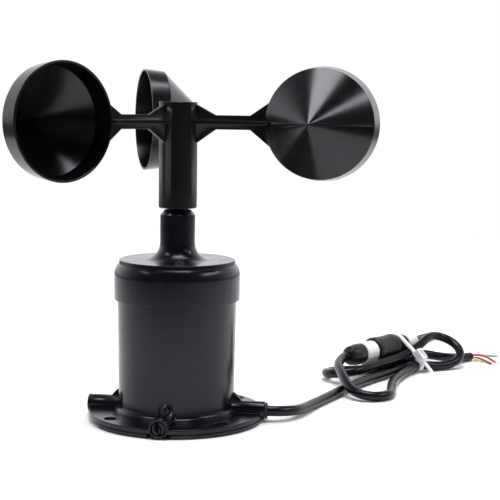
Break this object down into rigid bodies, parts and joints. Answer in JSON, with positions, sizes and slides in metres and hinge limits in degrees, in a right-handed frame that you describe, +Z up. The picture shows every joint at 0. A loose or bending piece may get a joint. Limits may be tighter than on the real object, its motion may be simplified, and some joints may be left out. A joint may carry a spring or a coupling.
{
  "type": "cup anemometer",
  "caption": "Wind speed sensor: hub with conical cups turning on a shaft above a round sensor housing, drilled base flange and tied cable with in-line connector.",
  "frame": {"origin": "centre of the base underside, on the rotor axis", "axes": "+Z up along the rotor axis, +X along the cable outlet boss, -Y along the slotted front boss"},
  "size_m": [0.2193, 0.2421, 0.1599],
  "materials": {
    "black_plastic": "satin moulded black, broad soft reflections",
    "rotor_plastic": "semi-gloss moulded black",
    "connector_plastic": "satin black",
    "black_rubber": "matt",
    "cable_jacket": "smooth black jacket, slightly glossy",
    "steel": "turned",
    "brass": "turned",
    "magnet": "sintered grey",
    "board_laminate": "solder mask",
    "chip_plastic": "moulded",
    "terminal_plastic": "moulded",
    "label_paper": "blank white film",
    "clear_nylon": "milky translucent",
    "green_insulation": "extruded",
    "red_insulation": "extruded",
    "brown_insulation": "extruded",
    "yellow_insulation": "extruded"
  },
  "bodies": {
    "base": {"housing": "black_plastic", "bottom_plate": "black_plastic", "plate_screw_1": "steel", "plate_screw_2": "steel", "plate_screw_3": "steel", "port_plug_rear": "black_plastic", "port_plug_left": "black_plastic", "port_plug_front": "black_plastic", "cover_gasket": "black_rubber", "top_cover": "black_plastic", "upper_bearing_outer_ring": "steel", "lower_bearing_outer_ring": "steel", "circuit_board": "board_laminate", "board_screw_1": "steel", "board_screw_2": "steel", "board_screw_3": "steel", "hall_sensor": "chip_plastic", "controller_chip": "chip_plastic", "terminal_block": "terminal_plastic", "cable_grommet": "black_rubber", "inner_lead": "cable_jacket", "connector_plug": "connector_plastic", "connector_socket": "connector_plastic", "label_wrap_plug": "label_paper", "label_wrap_socket": "label_paper", "cable_tie": "clear_nylon", "cable_lead": "cable_jacket", "cable_hank": "cable_jacket", "cable_tail": "cable_jacket", "wire_green": "green_insulation", "wire_red": "red_insulation", "wire_brown": "brown_insulation", "wire_yellow": "yellow_insulation"},
    "rotor": {"rotor_hub": "rotor_plastic", "cup_1": "rotor_plastic", "cup_2": "rotor_plastic", "cup_3": "rotor_plastic", "hub_insert": "brass", "hub_cap": "rotor_plastic", "rotor_screw": "steel", "rotor_shaft": "steel", "upper_bearing_inner_ring": "steel", "lower_bearing_inner_ring": "steel", "bearing_spacer": "brass", "retaining_ring": "steel", "magnet_carrier": "black_plastic", "ring_magnet": "magnet"},
    "nut": {"coupling_nut": "connector_plastic"}
  },
  "joints": [
    {"name": "rotor_spin", "type": "hinge", "parent": "base", "child": "rotor", "pos_m": [0, 0, 0.0825], "axis": [0, 0, 1], "continuous": true},
    {"name": "coupling_nut_turn", "type": "hinge", "parent": "base", "child": "nut", "pos_m": [0.0905, 0.1164, 0.0126], "axis": [0.5878, 0.809, 0], "continuous": true}
  ]
}
